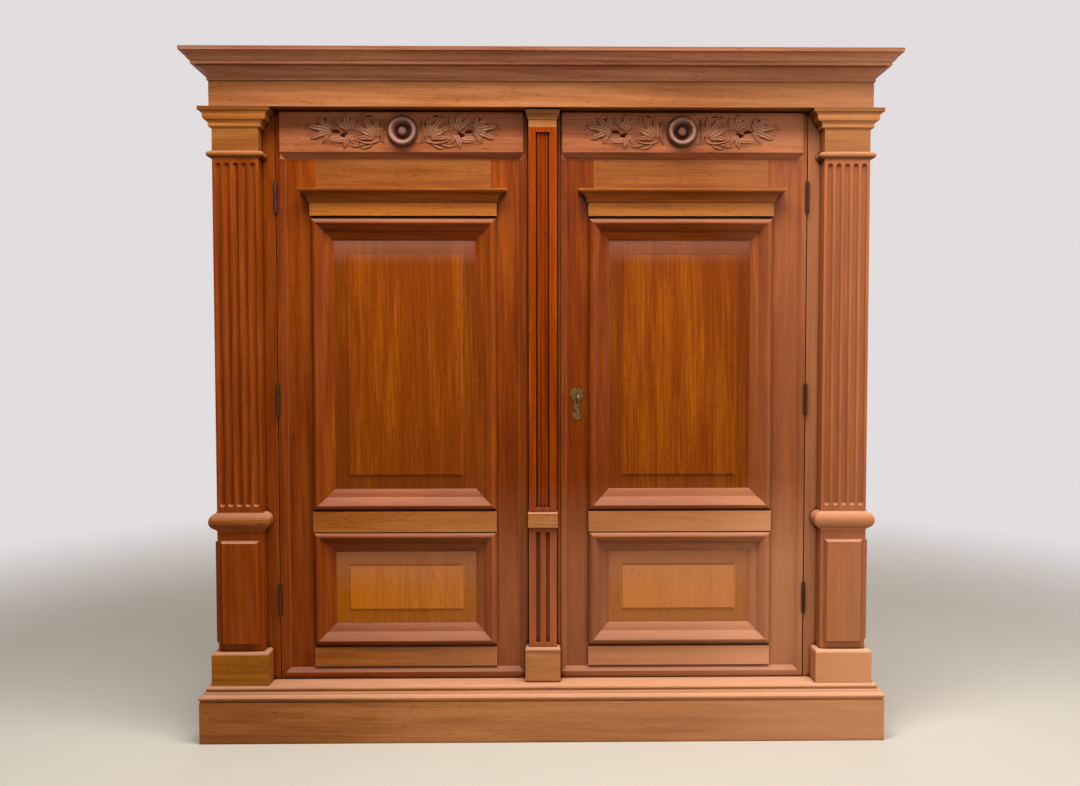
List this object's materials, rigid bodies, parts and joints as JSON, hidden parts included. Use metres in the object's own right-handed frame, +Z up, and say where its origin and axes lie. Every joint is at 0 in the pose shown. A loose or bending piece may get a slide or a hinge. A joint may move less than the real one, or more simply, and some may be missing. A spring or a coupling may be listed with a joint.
{
  "type": "two-door cabinet",
  "caption": "Wide wooden cabinet with panelled doors between fluted corner pilasters, on a moulded plinth under a projecting crown moulding; shelves, lock and bolts inside.",
  "frame": {"origin": "middle of the footprint on the floor, under the middle of the whole box", "axes": "+Z up; the doors face -Y; +X is to the right of a person who faces the doors"},
  "size_m": [1.967, 0.56, 1.925],
  "materials": {
    "walnut": "waxed satin",
    "figured_panel": "polished, figured veneer",
    "inner_wood": "plain, dry",
    "bronze": "aged, dull",
    "steel": "dark, oiled"
  },
  "bodies": {
    "carcass": {"plinth_front_board": "walnut", "plinth_side_boards": "walnut", "plinth_back_board": "inner_wood", "plinth_frame": "walnut", "floor_board": "inner_wood", "left_corner_post": "walnut", "right_corner_post": "walnut", "left_base_block": "walnut", "right_base_block": "walnut", "left_pedestal": "walnut", "right_pedestal": "walnut", "left_torus": "walnut", "right_torus": "walnut", "left_fluted_shaft": "walnut", "right_fluted_shaft": "walnut", "left_capital": "walnut", "right_capital": "walnut", "left_side_frame": "walnut", "right_side_frame": "walnut", "side_panels": "walnut", "back_boards": "inner_wood", "top_board": "inner_wood", "top_rail": "inner_wood", "crown_frame": "walnut", "crown_moulding": "walnut", "crown_lid": "inner_wood", "shelf_1": "inner_wood", "shelf_2": "inner_wood", "shelf_3": "inner_wood", "shelf_cleats": "inner_wood", "post_hinge_halves": "steel"},
    "left_door": {"left_door_stiles": "walnut", "left_door_rails": "walnut", "left_door_panels": "figured_panel", "left_door_panel_mouldings": "walnut", "left_door_entablature": "walnut", "left_door_bands": "walnut", "left_door_frieze": "walnut", "left_door_rosette": "walnut", "left_door_edge_beads": "walnut", "left_door_hinge_halves": "steel", "centre_pilaster_shafts": "walnut", "centre_pilaster_blocks": "walnut", "centre_pilaster_cap": "walnut"},
    "right_door": {"right_door_stiles": "walnut", "right_door_rails": "walnut", "right_door_panels": "figured_panel", "right_door_panel_mouldings": "walnut", "right_door_entablature": "walnut", "right_door_bands": "walnut", "right_door_frieze": "walnut", "right_door_rosette": "walnut", "right_door_edge_beads": "walnut", "right_door_hinge_halves": "steel", "keyhole_plate": "bronze", "lock_case": "steel"},
    "lock_bolt": {"lock_bolt": "steel"},
    "key": {"key": "bronze"},
    "left_door_top_bolt": {"left_door_top_bolt": "steel"},
    "left_door_foot_bolt": {"left_door_foot_bolt": "steel"}
  },
  "joints": [
    {"name": "left_door_hinge", "type": "hinge", "parent": "carcass", "child": "left_door", "pos_m": [-0.755, -0.1768, 0.97], "axis": [0, 0, -1], "range_deg": [0, 90]},
    {"name": "right_door_hinge", "type": "hinge", "parent": "carcass", "child": "right_door", "pos_m": [0.755, -0.1768, 0.97], "axis": [0, 0, 1], "range_deg": [0, 90]},
    {"name": "key_turn", "type": "hinge", "parent": "right_door", "child": "key", "pos_m": [0.099, -0.19, 0.968], "axis": [0, 1, 0], "range_deg": [0, 180]},
    {"name": "lock_bolt_slide", "type": "slide", "parent": "right_door", "child": "lock_bolt", "axis": [-1, 0, 0], "range_m": [0, 0.01]},
    {"name": "top_bolt_slide", "type": "slide", "parent": "left_door", "child": "left_door_top_bolt", "axis": [0, 0, 1], "range_m": [0, 0.015]},
    {"name": "foot_bolt_slide", "type": "slide", "parent": "left_door", "child": "left_door_foot_bolt", "axis": [0, 0, -1], "range_m": [0, 0.015]}
  ],
  "couplings": [
    {"joint": "key_turn", "follows": "lock_bolt_slide", "rad_per_m": 314.16}
  ]
}
